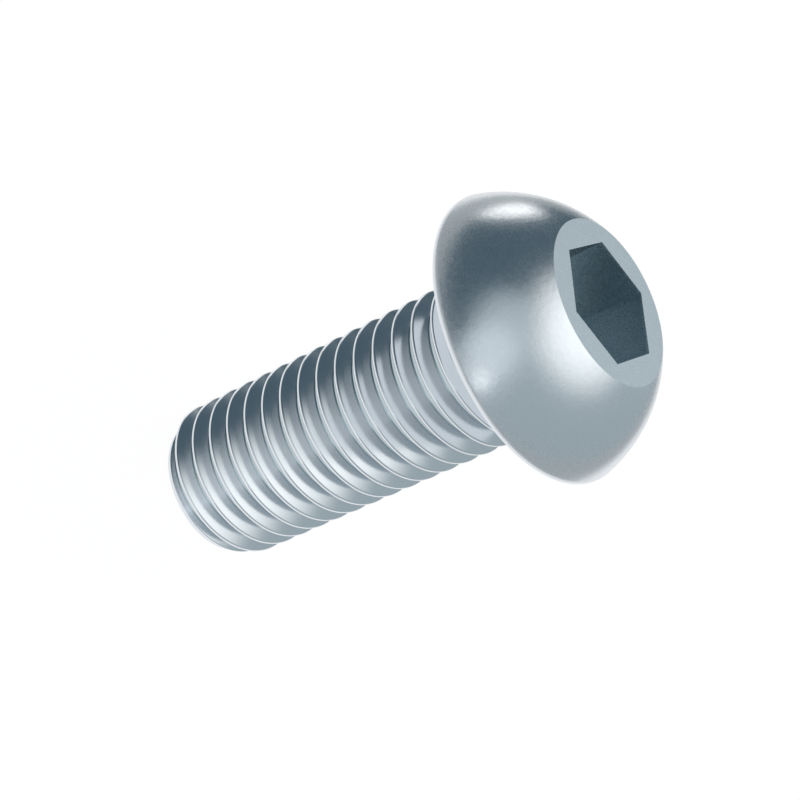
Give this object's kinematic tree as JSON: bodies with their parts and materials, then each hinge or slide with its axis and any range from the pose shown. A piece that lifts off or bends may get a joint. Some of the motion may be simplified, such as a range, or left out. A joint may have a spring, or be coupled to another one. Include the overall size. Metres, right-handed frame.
{
  "type": "button head socket screw",
  "caption": "Button head screw with a hexagon socket and a right-hand metric thread running up to the head, in zinc-plated steel.",
  "frame": {"origin": "centre of the bearing face under the head, on the screw's axis", "axes": "+Z along the screw's axis, from the tip towards the head and out of the socket; a corner of the hexagon socket faces -Y and two of its flats face +X and -X"},
  "size_m": [0.021, 0.021, 0.0365],
  "materials": {
    "zinc_plated_steel": "bright zinc plating with a faint blue tint, satin"
  },
  "bodies": {
    "root": {"screw": "zinc_plated_steel"}
  },
  "joints": []
}
